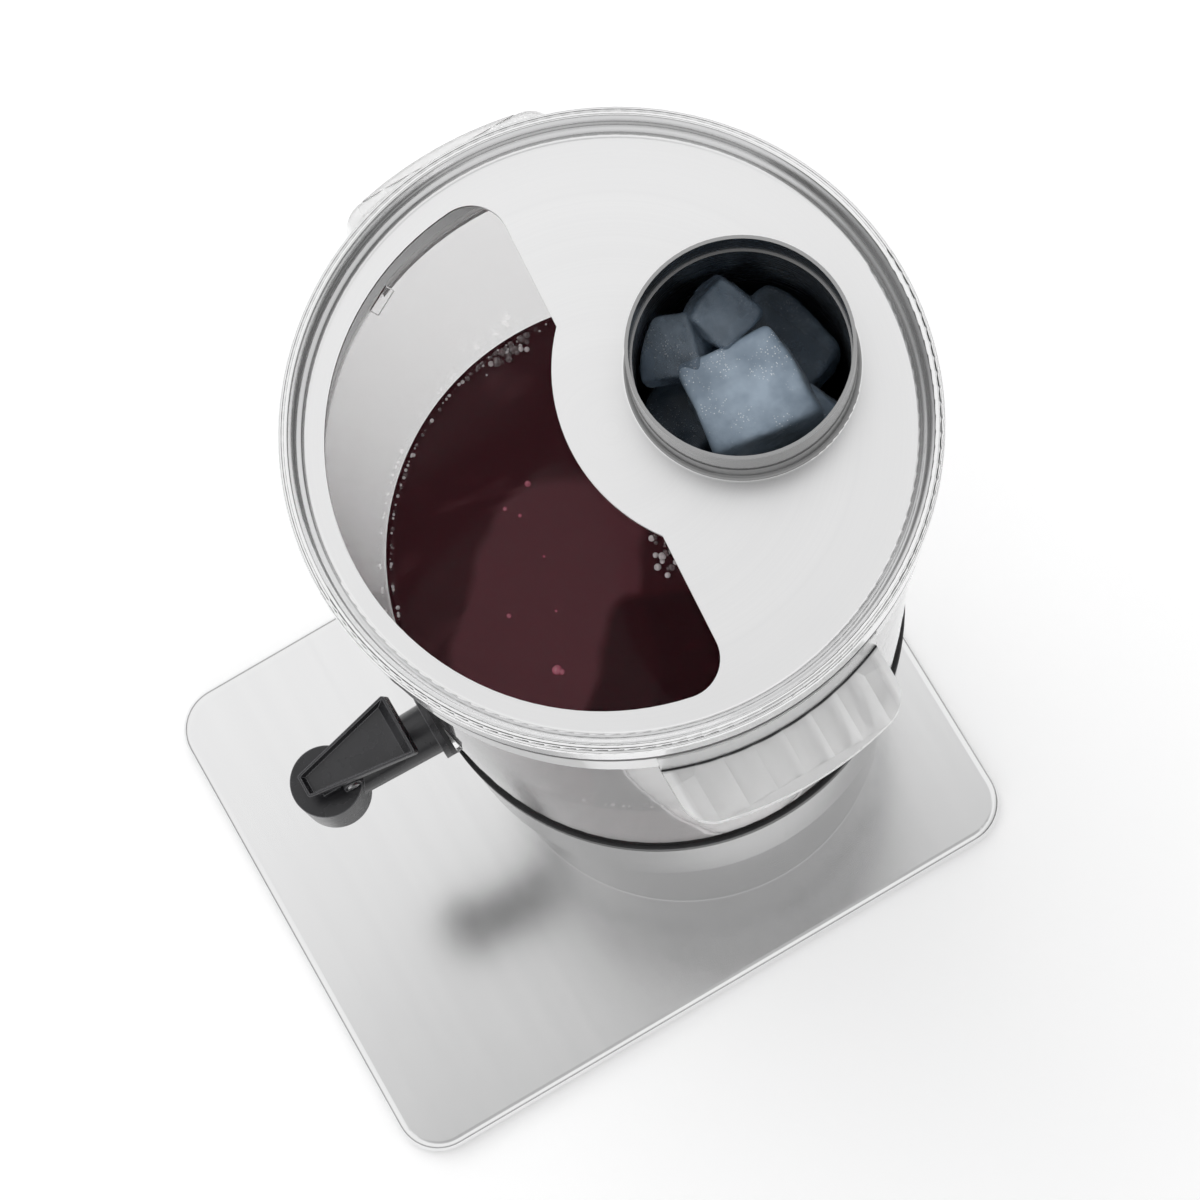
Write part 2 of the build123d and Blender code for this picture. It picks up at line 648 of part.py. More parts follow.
with BuildPart() as lever_pin:
    pin_half = HUB_HALF_WIDTH + EAR_GAP + EAR_THICKNESS + PIN_CLEARANCE
    with BuildSketch(beside_pin(pin_half)):
        Circle(PIN_RADIUS)
    extrude(amount=2 * pin_half)
    for hand in (-1, 1):
        with BuildSketch(beside_pin(hand * pin_half)):
            Circle(PIN_HEAD_RADIUS)
        extrude(amount=-hand * PIN_HEAD)

# Valve: stem with a head for the lever, a collar for the spring and a rubber plug
with BuildPart() as valve_stem:
    with BuildSketch(valve_section):
        Polygon(
            (0, VALVE_SEAT + SEAL_HEIGHT / 2),
            (STEM_RADIUS, VALVE_SEAT + SEAL_HEIGHT / 2),
            (STEM_RADIUS, COLLAR_BOTTOM),
            (STEM_COLLAR_RADIUS, COLLAR_BOTTOM),
            (STEM_COLLAR_RADIUS, SPRING_FOOT),
            (STEM_RADIUS, SPRING_FOOT),
            (STEM_RADIUS, HEAD_BOTTOM),
            (HEAD_RADIUS, HEAD_BOTTOM),
            (HEAD_RADIUS, HEAD_BOTTOM + HEAD_THICKNESS),
            (0, HEAD_BOTTOM + HEAD_THICKNESS),
            align=None,
        )
    revolve(axis=valve_axis)

with BuildPart() as valve_seal:
    with BuildSketch(valve_section):
        Polygon(
            (0, VALVE_SEAT),
            (SEAL_TIP_RADIUS, VALVE_SEAT),
            (SEAL_RADIUS, COLLAR_BOTTOM),
            (STEM_RADIUS + STEM_CLEARANCE, COLLAR_BOTTOM),
            (STEM_RADIUS + STEM_CLEARANCE, VALVE_SEAT + SEAL_HEIGHT / 2),
            (0, VALVE_SEAT + SEAL_HEIGHT / 2),
            align=None,
        )
    revolve(axis=valve_axis)

with BuildPart() as valve_spring:
    coil_height = SPRING_HEAD - SPRING_FOOT - 2 * SPRING_WIRE
    with BuildLine(level(SPRING_FOOT + SPRING_WIRE, TAP_REACH)) as coil:
        Helix(pitch=coil_height / SPRING_TURNS, height=coil_height, radius=SPRING_RADIUS)
    with BuildSketch(Plane(origin=coil.line @ 0, z_dir=coil.line % 0)):
        RegularPolygon(SPRING_WIRE, 6)
    sweep(path=coil.line, is_frenet=True)

# Lever: a dished paddle that narrows to the front, a hub on the pin
# and a fork that lifts the head of the stem
PADDLE_TILT = atan2(PADDLE_RISE, PADDLE_AHEAD + PADDLE_BEHIND)
PADDLE_LENGTH = (PADDLE_AHEAD + PADDLE_BEHIND) / cos(PADDLE_TILT)
PADDLE_OVER_HUB = PADDLE_LIFT + PADDLE_AHEAD * sin(PADDLE_TILT) / cos(PADDLE_TILT)
WEB_TOP = PADDLE_OVER_HUB - (PADDLE_DEPTH + PADDLE_DISH) / 2
PRONG_REACH = PIN_ARM + PRONG_TIP
PRONG_START = EAR_RADIUS + PRONG_GAP
paddle_plane = Plane(
    origin=(0, AXIS_Y - PIN_REACH - PADDLE_AHEAD, PIN_Z + PADDLE_LIFT),
    x_dir=(1, 0, 0),
    z_dir=(0, -sin(PADDLE_TILT), cos(PADDLE_TILT)),
)


def paddle_width(along):
    """Width of the paddle at a distance from its front end."""
    return PADDLE_FRONT_WIDTH + (PADDLE_REAR_WIDTH - PADDLE_FRONT_WIDTH) * along / PADDLE_LENGTH


def dish_outline(depth, side, rear):
    """Outline of the dish at a depth under the rim, with its insets at the sides and the rear end."""
    rear_end = PADDLE_LENGTH - rear
    with BuildSketch(paddle_plane.offset(-depth)) as outline:
        Polygon(
            (side - paddle_width(side) / 2, side),
            (paddle_width(side) / 2 - side, side),
            (paddle_width(rear_end) / 2 - side, rear_end),
            (side - paddle_width(rear_end) / 2, rear_end),
            align=None,
        )
    return outline.sketch.face()


with BuildPart() as tap_lever:
    with BuildSketch(paddle_plane) as paddle_outline:
        Polygon(
            (-PADDLE_FRONT_WIDTH / 2, 0),
            (PADDLE_FRONT_WIDTH / 2, 0),
            (PADDLE_REAR_WIDTH / 2, PADDLE_LENGTH),
            (-PADDLE_REAR_WIDTH / 2, PADDLE_LENGTH),
            align=None,
        )
        fillet(paddle_outline.vertices(), PADDLE_CORNER)
    extrude(amount=-PADDLE_DEPTH)
    with BuildSketch(beside_pin(HUB_HALF_WIDTH)):
        Circle(HUB_RADIUS)
        Rectangle(2 * HUB_RADIUS, WEB_TOP, align=(Align.CENTER, Align.MIN))
        with Locations((0, PRONG_TOP)):
            Rectangle(PRONG_START, PRONG_THICKNESS, align=(Align.MIN, Align.MAX))
    extrude(amount=2 * HUB_HALF_WIDTH)
    dish_top = dish_outline(0, PADDLE_RIM, PADDLE_RIM)
    dish_floor = dish_outline(
        PADDLE_DISH,
        PADDLE_RIM + PADDLE_SIDE_SLOPE,
        PADDLE_RIM + PADDLE_REAR_SLOPE,
    )
    loft([dish_top, dish_floor], ruled=True, mode=Mode.SUBTRACT)
    with BuildSketch(beside_pin(HUB_HALF_WIDTH + PRONG_OVERHANG)):
        with Locations((PRONG_START, PRONG_TOP)):
            Rectangle(PRONG_REACH - PRONG_START, PRONG_THICKNESS, align=(Align.MIN, Align.MAX))
    extrude(amount=2 * (HUB_HALF_WIDTH + PRONG_OVERHANG))
    with BuildSketch(level(PIN_Z + PRONG_TOP, PIN_REACH + PIN_ARM - STEM_RADIUS - SLOT_ROOM)):
        Rectangle(
            2 * (STEM_RADIUS + SLOT_CLEARANCE),
            PRONG_REACH,
            align=(Align.CENTER, Align.MAX),
        )
    extrude(amount=-PRONG_THICKNESS, mode=Mode.SUBTRACT)
    with BuildSketch(beside_pin(HUB_HALF_WIDTH)):
        Circle(PIN_RADIUS + PIN_CLEARANCE)
    extrude(amount=2 * HUB_HALF_WIDTH, mode=Mode.SUBTRACT)


def window_outline(height, grow):
    """Half-round window with a hollow round the ice tube, let out by an amount."""
    with BuildSketch(lid_level(height)) as outline:
        with Locations((0, -WINDOW_SHIFT)):
            Circle(WINDOW_RADIUS + grow)
        with Locations((0, WINDOW_CHORD + grow)):
            Rectangle(
                3 * WINDOW_RADIUS,
                2 * WINDOW_RADIUS,
                align=(Align.CENTER, Align.MIN),
                mode=Mode.SUBTRACT,
            )
        with Locations((0, TUBE_OFFSET)):
            Circle(WINDOW_BULGE - grow, mode=Mode.SUBTRACT)
        corners = outline.vertices().sort_by(lambda corner: abs(corner.X))
        fillet(corners[-2:], WINDOW_CORNER + grow)
        fillet(corners[:2], WINDOW_INNER_CORNER)
    return outline.sketch


# Lid: recessed flat, slanted inner wall, rolled rim, collar and window
with BuildPart() as lid:
    add(
        sheet_profile(
            section,
            [
                (0, FLAT_TOP),
                (LID_FLAT_RADIUS, FLAT_TOP),
                (LID_FLAT_RADIUS + LID_RIM_SLANT, RIM_TOP),
                (LID_RADIUS, RIM_TOP),
                (LID_RADIUS, SKIRT_BOTTOM),
            ],
            LID_BEND,
            LID_SHEET,
            Side.RIGHT,
        )
    )
    revolve(axis=axis)
    with BuildSketch(section):
        with Locations((LID_RADIUS - RIM_GROOVE_INSET, RIM_TOP)):
            Circle(RIM_GROOVE)
    revolve(axis=axis, mode=Mode.SUBTRACT)
    with BuildSketch(tube_level(FLAT_TOP)):
        Circle(COLLAR_RADIUS)
    extrude(amount=LID_COLLAR_HEIGHT)
    collar_root = lid.edges().filter_by_position(Axis.Z, FLAT_TOP, FLAT_TOP).filter_by(GeomType.CIRCLE)
    fillet(collar_root.sort_by(SortBy.RADIUS)[0], LID_COLLAR_ROOT)
    with BuildSketch(tube_level(FLAT_UNDERSIDE)):
        Circle(COLLAR_BORE)
    extrude(amount=COLLAR_TOP - FLAT_UNDERSIDE, mode=Mode.SUBTRACT)
    add(window_outline(FLAT_UNDERSIDE, 0))
    extrude(amount=LID_SHEET, mode=Mode.SUBTRACT)

with BuildPart() as lid_seal:
    band_outer = LID_RADIUS - SEAL_BAND_INSET
    lip_outer = MOUTH_RADIUS - SEAL_LIP_CLEARANCE
    lip_inner = lip_outer - SEAL_LIP_WIDTH
    rib_outer = LID_RADIUS - LID_SHEET - SEAL_RIB_CLEARANCE
    rib_inner = rib_outer - SEAL_RIB_WIDTH
    with BuildSketch(section):
        Polygon(
            (lip_inner, BEAD_TOP - SEAL_LIP_DEPTH),
            (lip_outer, BEAD_TOP - SEAL_LIP_DEPTH),
            (lip_outer, BEAD_TOP),
            (band_outer, BEAD_TOP),
            (band_outer, SKIRT_BOTTOM),
            (rib_outer, SKIRT_BOTTOM),
            (rib_outer, SKIRT_BOTTOM + SEAL_RIB_HEIGHT),
            (rib_inner, SKIRT_BOTTOM + SEAL_RIB_HEIGHT),
            (rib_inner, SKIRT_BOTTOM),
            (lip_inner, SKIRT_BOTTOM),
            align=None,
        )
    revolve(axis=axis)

with BuildPart() as window_seal:
    add(window_outline(PANE_TOP, PANE_LEDGE))
    extrude(amount=PANE_BOND)
    add(window_outline(PANE_TOP, 0))
    extrude(amount=PANE_BOND, mode=Mode.SUBTRACT)

with BuildPart() as lid_window:
    add(window_outline(PANE_TOP, PANE_LEDGE))
    extrude(amount=-PANE_THICKNESS)
    with BuildSketch(lid_level(PANE_TOP)):
        with PolarLocations(WINDOW_RADIUS - PANE_TAB_MARGIN, 1, start_angle=PANE_TAB_ANGLE):
            Rectangle(PANE_TAB_WIDTH, PANE_TAB_LENGTH)
    extrude(amount=PANE_TAB_HEIGHT)

with BuildPart() as tube_seal:
    with BuildSketch(tube_level(FLAT_UNDERSIDE)):
        Circle(TUBE_RADIUS + TUBE_SEAL_CLEARANCE + TUBE_SEAL_WIDTH)
        Circle(TUBE_RADIUS + TUBE_SEAL_CLEARANCE, mode=Mode.SUBTRACT)
    extrude(amount=-TUBE_SEAL_HEIGHT)

# Ice tube: closed at the bottom, with a wider band that rests on the collar
with BuildPart() as ice_tube:
    add(
        sheet_profile(
            tube_section,
            [
                (0, COLLAR_TOP - TUBE_LENGTH),
                (TUBE_RADIUS, COLLAR_TOP - TUBE_LENGTH),
                (TUBE_RADIUS, COLLAR_TOP + TUBE_SHEET),
            ],
            TUBE_BEND,
            TUBE_SHEET,
            Side.LEFT,
        )
    )
    revolve(axis=tube_axis)
    with BuildSketch(tube_level(COLLAR_TOP)):
        Circle(BAND_RADIUS)
        Circle(TUBE_RADIUS - TUBE_SHEET, mode=Mode.SUBTRACT)
    extrude(amount=TUBE_SHEET)
    with BuildSketch(tube_level(COLLAR_TOP)):
        Circle(BAND_RADIUS)
        Circle(BAND_RADIUS - TUBE_BAND_SHEET, mode=Mode.SUBTRACT)
    extrude(amount=TUBE_BAND)
    band_edge = ice_tube.edges().filter_by_position(Axis.Z, COLLAR_TOP, COLLAR_TOP)
    chamfer(band_edge.sort_by(SortBy.RADIUS)[-1], TUBE_BAND_BEVEL)

pieces = {
    "base_plate": base_plate,
    "rubber_feet": rubber_feet,
    "pedestal": pedestal,
    "pedestal_screws": pedestal_screws,
    "pedestal_nuts": pedestal_nuts,
    "seat_cup": seat_cup,
    "deck_screws": deck_screws,
    "deck_nuts": deck_nuts,
    "seat_gasket": seat_gasket,
    "container": container,
    "handle_right": handle_right,
    "handle_left": handle_left,
    "tap_body": tap_body,
    "tap_gasket_outer": tap_gasket_outer,
    "tap_gasket_inner": tap_gasket_inner,
    "tap_nut": tap_nut,
    "tap_bonnet": tap_bonnet,
    "lever_pin": lever_pin,
    "tap_lever": tap_lever,
    "valve_stem": valve_stem,
    "valve_seal": valve_seal,
    "valve_spring": valve_spring,
    "lid": lid,
    "lid_seal": lid_seal,
    "window_seal": window_seal,
    "lid_window": lid_window,
    "tube_seal": tube_seal,
    "ice_tube": ice_tube,
}

os.makedirs("parts", exist_ok=True)
for name, piece in pieces.items():
    piece.part.label = name
    export_step(piece.part, f"parts/{name}.step")
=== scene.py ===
import bpy
import bmesh
import math
import random
from mathutils import Matrix, Vector, noise


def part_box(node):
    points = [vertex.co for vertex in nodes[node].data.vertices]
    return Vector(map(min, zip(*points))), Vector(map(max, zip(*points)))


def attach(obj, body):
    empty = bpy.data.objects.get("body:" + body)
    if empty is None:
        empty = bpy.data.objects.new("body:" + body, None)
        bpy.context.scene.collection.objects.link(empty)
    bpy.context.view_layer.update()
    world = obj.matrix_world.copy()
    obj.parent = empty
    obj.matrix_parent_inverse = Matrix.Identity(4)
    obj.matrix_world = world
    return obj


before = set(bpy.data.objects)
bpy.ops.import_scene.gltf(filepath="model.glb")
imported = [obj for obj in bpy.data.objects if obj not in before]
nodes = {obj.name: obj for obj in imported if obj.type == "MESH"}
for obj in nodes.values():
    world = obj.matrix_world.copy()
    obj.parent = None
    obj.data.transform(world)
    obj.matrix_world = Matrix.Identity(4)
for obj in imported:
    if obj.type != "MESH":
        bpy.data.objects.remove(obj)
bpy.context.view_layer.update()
scene = bpy.context.scene
scene.view_settings.view_transform = "Standard"

# Boxes of CAD pieces, in metres
_, jar_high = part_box("container")
lid_low, lid_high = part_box("lid")
tube_low, tube_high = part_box("ice_tube")
_, gasket_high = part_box("seat_gasket")
seal_low, seal_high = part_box("tube_seal")

# Upright axes of the container and of the ice tube
TUBE_SEAL_WIDTH = 0.0037
AXIS_Y = (lid_low.y + lid_high.y) / 2
TUBE_X = (seal_low.x + seal_high.x) / 2
TUBE_Y = (seal_low.y + seal_high.y) / 2
TUBE_R = (seal_high.x - seal_low.x) / 2 - TUBE_SEAL_WIDTH

# Heights
FLOOR_Z = gasket_high.z - 0.003
WALL_FOOT_Z = gasket_high.z + 0.003
WALL_START_Z = gasket_high.z + 0.004
FOOT_STEP_Z = gasket_high.z + 0.0025
BEAD_FOOT_Z = jar_high.z - 0.027
COLLAR_FOOT_Z = lid_high.z - 0.00835
JUICE_TOP = 0.334

# Inside of the container: radius of its foot and of its wall, which widens with height
FOOT_RADIUS = 0.0851
WALL_FOOT = 0.0885
WALL_RISE = 0.01522


# Camera
def photo_camera():
    target = Vector((-0.0246, 0.0346, 0.1795))
    distance = 1.3406
    azimuth, elevation, roll = (math.radians(angle) for angle in (78.8, 77.7, -19.2))
    back = Vector((
        math.sin(azimuth) * math.cos(elevation),
        -math.cos(azimuth) * math.cos(elevation),
        math.sin(elevation),
    ))
    right = (-back).cross(Vector((0, 0, 1))).normalized()
    up = right.cross(-back)
    x_axis = math.cos(roll) * right + math.sin(roll) * up
    y_axis = -math.sin(roll) * right + math.cos(roll) * up
    data = bpy.data.cameras.new("photo_camera")
    data.sensor_width = 36.0
    data.lens = 102.18
    data.clip_start, data.clip_end = 0.05, 20.0
    camera = bpy.data.objects.new("photo_camera", data)
    scene.collection.objects.link(camera)
    turn = Matrix((x_axis, y_axis, back)).transposed().to_4x4()
    camera.matrix_world = Matrix.Translation(target + back * distance) @ turn
    scene.camera = camera


photo_camera()


# Materials
def dimmed(colour, share):
    return tuple(c * share for c in colour)


def with_alpha(colour):
    return (*colour, 1.0)


class Shader:
    """A material with a Principled shader and short ways to add nodes to it."""

    def __init__(self, name, **values):
        self.material = bpy.data.materials.new(name)
        self.material.use_nodes = True
        self.tree = self.material.node_tree
        self.bsdf = self.tree.nodes["Principled BSDF"]
        self.set(**values)

    def set(self, **sockets):
        for socket, value in sockets.items():
            self.put(value, self.bsdf.inputs[socket.replace("_", " ")])
        return self.material

    def add(self, kind, settings=None, **inputs):
        made = self.tree.nodes.new("ShaderNode" + kind)
        for key, value in (settings or {}).items():
            setattr(made, key, value)
        for socket, value in inputs.items():
            self.put(value, made.inputs[socket.replace("_", " ")])
        return made

    def put(self, value, socket):
        if isinstance(value, bpy.types.NodeSocket):
            self.tree.links.new(value, socket)
        else:
            socket.default_value = value

    def place(self):
        """Object coordinates, which stay with the piece."""
        return self.add("TexCoord").outputs["Object"]

    def split(self, vector):
        return self.add("SeparateXYZ", Vector=vector).outputs

    def scaled(self, vector, scale):
        return self.add("Mapping", Vector=vector, Scale=scale).outputs["Vector"]

    def noise(self, vector, scale, detail=2.0, rough=0.5):
        made = self.add("TexNoise", Vector=vector, Scale=scale, Detail=detail, Roughness=rough)
        return made.outputs["Fac"]

    def math(self, operation, a, b=0.0):
        made = self.add("Math", {"operation": operation})
        self.put(a, made.inputs[0])
        self.put(b, made.inputs[1])
        return made.outputs[0]

    def span(self, value, low, high, to_low, to_high):
        """Maps value from low..high to to_low..to_high, clamped."""
        made = self.add("MapRange")
        for socket, number in zip(made.inputs, (value, low, high, to_low, to_high)):
            self.put(number, socket)
        return made.outputs["Result"]

    def ramp(self, value, *stops):
        made = self.add("ValToRGB", Fac=value)
        ramp = made.color_ramp
        while len(ramp.elements) < len(stops):
            ramp.elements.new(0.5)
        for element, (place, colour) in zip(ramp.elements, stops):
            element.position = place
            element.color = with_alpha(colour)
        return made.outputs["Color"]

    def mix(self, factor, first, second):
        """Colour that goes from the first to the second as factor goes from 0 to 1."""
        made = self.add("Mix", {"data_type": "RGBA"}, Factor=factor)
        colours = [s for s in made.inputs if s.type == "RGBA"]
        for socket, colour in zip(colours, (first, second)):
            self.put(with_alpha(colour) if isinstance(colour, tuple) else colour, socket)
        return next(s for s in made.outputs if s.type == "RGBA")

    def bump(self, height, strength, distance, under=None):
        made = self.add("Bump", Height=height, Strength=strength, Distance=distance)
        if under is not None:
            self.put(under, made.inputs["Normal"])
        return made.outputs["Normal"]

    def radius(self, vector, centre_x=0.0, centre_y=0.0):
        """Distance from the upright axis through (centre_x, centre_y)."""
        xyz = self.split(vector)
        across = self.math("SUBTRACT", xyz["X"], centre_x)
        ahead = self.math("SUBTRACT", xyz["Y"], centre_y)
        squares = self.math("ADD", self.math("MULTIPLY", across, across),
                            self.math("MULTIPLY", ahead, ahead))
        return self.math("SQRT", squares)


def steel(name, tone, rough, grain, centre=(0.0, AXIS_Y), strength=0.06, rim=None):
    """Satin stainless sheet with fine turned or straight lines.

    Outside the radius rim the sheet is bright, and its collar round the ice tube is darkened in
    colour as painted shade.
    """
    rim_blend = 0.0012
    ring_pitch = 0.0023
    collar_width = 0.0095
    s = Shader(name, Metallic=1.0)
    where = s.place()
    fade = strength
    if grain == "turned":
        radius = s.radius(where, *centre)
        line_at = s.add("CombineXYZ", X=radius, Y=s.split(where)["Z"]).outputs[0]
        lines = s.noise(line_at, 1300.0, 3.0, 0.7)
        bands = s.noise(line_at, 120.0)
        fade = s.span(radius, 0.008, 0.030, 0.0, strength)
    else:
        stretched = s.scaled(where, (1.0, 0.03, 1.0) if grain == "long" else (0.03, 1.0, 1.0))
        lines = s.noise(stretched, 2600.0, 3.0, 0.7)
        bands = s.noise(stretched, 160.0)
    cloud = s.noise(where, 14.0, 3.0, 0.6)
    mixed = s.math("ADD", s.math("MULTIPLY", lines, 0.5), s.math("MULTIPLY", bands, 0.5))
    blend = s.math("ADD", s.math("MULTIPLY", mixed, 0.6), s.math("MULTIPLY", cloud, 0.4))
    tint = s.ramp(
        blend,
        (0.30, (tone * 0.95, tone * 0.95, tone * 0.955)),
        (0.70, (tone * 1.03, tone * 1.03, tone * 1.03)),
    )
    spread = s.math("ADD", s.span(cloud, 0.3, 0.7, rough - 0.02, rough + 0.03),
                    s.span(lines, 0.3, 0.7, -0.015, 0.02))
    skin = s.bump(mixed, fade, 0.0002)
    if rim:
        near = s.math("LESS_THAN", s.radius(where, TUBE_X, TUBE_Y), TUBE_R + collar_width)
        raised = s.math("GREATER_THAN", s.split(where)["Z"], COLLAR_FOOT_Z)
        collar = s.math("MULTIPLY", near, raised)
        # Painted shade: the collar round the ice tube is mixed towards near black
        tint = s.mix(s.math("MULTIPLY", collar, 0.72), tint, (0.05, 0.05, 0.05))
        polish = s.span(radius, rim, rim + rim_blend, 1.0, 0.42)
        spread = s.math("MULTIPLY", spread, polish)
        wave = s.math("SINE", s.math("MULTIPLY", radius, 2 * math.pi / ring_pitch))
        ring = s.math("MULTIPLY", wave, s.span(radius, rim, rim + rim_blend, 0.0, 1.0))
        skin = s.bump(ring, 0.35, 0.0004, skin)
    return s.set(Base_Color=tint, Roughness=spread, Normal=skin)


def clear_plastic(name, rough=0.02, ior=1.49, wave=0.02, bead=None):
    """Clear moulded plastic with slight flow waves and a little haze, cloudy above height bead."""
    s = Shader(name, IOR=ior, Transmission_Weight=1.0)
    where = s.place()
    if bead:
        s.set(Transmission_Weight=s.span(s.split(where)["Z"], bead, bead + 0.004, 1.0, 0.15))
    flow = s.noise(where, 22.0)
    haze = s.noise(where, 90.0, 4.0, 0.6)
    clear = (0.985, 0.985, 0.985)
    return s.set(
        Base_Color=s.ramp(haze, (0.3, dimmed(clear, 0.985)), (0.7, clear)),
        Roughness=s.span(haze, 0.45, 0.75, rough, rough * 2.0),
        Normal=s.bump(flow, wave, 0.002),
    )


def moulded_grip(name):
    """Frosted clear grip: solid white ends and a dark, opaque line of painted shadow in the step
    where it is joined to the rim plate.
    """
    end_from, end_to = 0.0342, 0.0362
    root, root_end, lip_start = 0.1000, 0.1004, 0.1010
    joint_low, joint_high = jar_high.z - 0.0262, jar_high.z - 0.0228
    blend = 0.0004
    s = Shader(name, IOR=1.49)
    where = s.place()
    radius = s.radius(where, 0.0, AXIS_Y)
    xyz = s.split(where)
    side = s.math("ABSOLUTE", s.math("SUBTRACT", xyz["Y"], AXIS_Y))
    solid = s.math("MULTIPLY", s.span(side, end_from, end_to, 0.0, 1.0),
                   s.span(radius, root_end, lip_start, 0.0, 1.0))
    above = s.span(xyz["Z"], joint_low, joint_low + blend, 0.0, 1.0)
    below = s.span(xyz["Z"], joint_high - blend, joint_high, 1.0, 0.0)
    # Painted shadow: a dark line in the step between the grip and the rim plate
    joint_painted_shadow = s.math("MULTIPLY", s.span(radius, root, root_end, 1.0, 0.0),
                   s.math("MULTIPLY", above, below))
    haze = s.noise(where, 90.0, 4.0, 0.6)
    shade = s.ramp(haze, (0.3, (0.955, 0.955, 0.955)), (0.7, (0.985, 0.985, 0.985)))
    opaque = s.math("MAXIMUM", solid, joint_painted_shadow)
    return s.set(
        Base_Color=s.mix(joint_painted_shadow, shade, (0.02, 0.02, 0.022)),
        Transmission_Weight=s.span(opaque, 0.0, 1.0, 0.50, 0.03),
        Roughness=s.span(haze, 0.45, 0.75, 0.09, 0.16),
        Normal=s.bump(s.noise(where, 22.0), 0.03, 0.002),
    )


def rubber(name, tone, rough=0.55):
    """Soft dull rubber with a fine matt skin."""
    s = Shader(name, Specular_IOR_Level=0.35)
    where = s.place()
    skin = s.noise(where, 1800.0, 3.0, 0.6)
    dust = s.noise(where, 60.0, 4.0, 0.6)
    black = (tone, tone, tone * 1.05)
    dusty = (tone * 1.9, tone * 1.9, tone * 2.0)
    return s.set(
        Base_Color=s.ramp(dust, (0.3, black), (0.8, dusty)),
        Roughness=s.span(skin, 0.3, 0.7, rough - 0.08, rough + 0.1),
        Normal=s.bump(skin, 0.15, 0.0002),
    )


def moulded_black(name):
    """Black moulded plastic with a fine spark-eroded skin, edges rounded in shading and lightened
    in colour as a painted highlight.
    """
    s = Shader(name)
    where = s.place()
    skin = s.noise(where, 2400.0)
    worn = s.noise(where, 70.0, 3.0, 0.6)
    shade = s.ramp(worn, (0.35, (0.016, 0.016, 0.018)), (0.7, (0.030, 0.030, 0.033)))
    rounded = s.add("Bevel", {"samples": 6}, Radius=0.0007).outputs[0]
    true_normal = s.add("NewGeometry").outputs["Normal"]
    together = s.add("VectorMath", {"operation": "DOT_PRODUCT"})
    s.put(rounded, together.inputs[0])
    s.put(true_normal, together.inputs[1])
    # Painted highlight: edges found by the bevel normal get a lighter base colour
    edge = s.span(together.outputs["Value"], 0.99, 0.86, 0.0, 1.0)
    return s.set(
        Base_Color=s.mix(edge, shade, (0.16, 0.16, 0.17)),
        Roughness=s.span(worn, 0.3, 0.7, 0.22, 0.34),
        Normal=s.bump(skin, 0.10, 0.00015, rounded),
    )


def silicone(name):
    """Milky silicone with a fine skin."""
    s = Shader(name, Transmission_Weight=0.35, IOR=1.41)
    where = s.place()
    skin = s.noise(where, 900.0, 3.0, 0.6)
    milky = (0.78, 0.79, 0.78)
    return s.set(
        Base_Color=s.ramp(s.noise(where, 60.0), (0.3, dimmed(milky, 0.93)), (0.7, milky)),
        Roughness=s.span(skin, 0.3, 0.7, 0.35, 0.5),
        Normal=s.bump(skin, 0.08, 0.0002),
    )


base_steel = steel("base_steel", 0.84, 0.15, "cross", strength=0.03)
drum_steel = steel("drum_steel", 0.50, 0.22, "turned", strength=0.04)
lid_steel = steel("lid_steel", 0.865, 0.33, "turned", strength=0.025, rim=0.0925)
# Painted shade: the tube's steel gets a dark tone that stands in for the dark reflections on its
# walls
tube_steel = steel("tube_steel", 0.36, 0.26, "turned", (TUBE_X, TUBE_Y), 0.08)
fastener_steel = steel("fastener_steel", 0.72, 0.28, "long")
spring_steel = steel("spring_steel", 0.66, 0.26, "long")
jar_plastic = clear_plastic("jar_plastic", bead=BEAD_FOOT_Z)
grip_plastic = moulded_grip("grip_plastic")
# The pane is thin and flat, so it hardly bends or mirrors the light
window_plastic = clear_plastic("window_plastic", rough=0.001, ior=1.08, wave=0.002)
foot_rubber = rubber("foot_rubber", 0.018)
gasket_rubber = rubber("gasket_rubber", 0.014, 0.42)
band_rubber = rubber("band_rubber", 0.016, 0.42)
seal_silicone = silicone("seal_silicone")
tap_black = moulded_black("tap_black")

finishes = {
    "base_plate": base_steel,
    "rubber_feet": foot_rubber,
    "pedestal": drum_steel,
    "pedestal_screws": fastener_steel,
    "pedestal_nuts": fastener_steel,
    "seat_cup": drum_steel,
    "deck_screws": fastener_steel,
    "deck_nuts": fastener_steel,
    "seat_gasket": gasket_rubber,
    "container": jar_plastic,
    "handle_right": grip_plastic,
    "handle_left": grip_plastic,
    "tap_body": tap_black,
    "tap_gasket_outer": gasket_rubber,
    "tap_gasket_inner": gasket_rubber,
    "tap_nut": tap_black,
    "tap_bonnet": tap_black,
    "lever_pin": fastener_steel,
    "tap_lever": tap_black,
    "valve_stem": tap_black,
    "valve_seal": seal_silicone,
    "valve_spring": spring_steel,
    "lid": lid_steel,
    "lid_seal": band_rubber,
    "window_seal": seal_silicone,
    "lid_window": window_plastic,
    "tube_seal": seal_silicone,
    "ice_tube": tube_steel,
}
for name, finish in finishes.items():
    piece = nodes[name]
    piece.data.materials.clear()
    piece.data.materials.append(finish)


# Meshes
def new_piece(name, mesh, finish, body):
    piece = bpy.data.objects.new(name, mesh)
    scene.collection.objects.link(piece)
    mesh.materials.append(finish)
    for face in mesh.polygons:
        face.use_smooth = True
    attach(piece, body)
    return piece


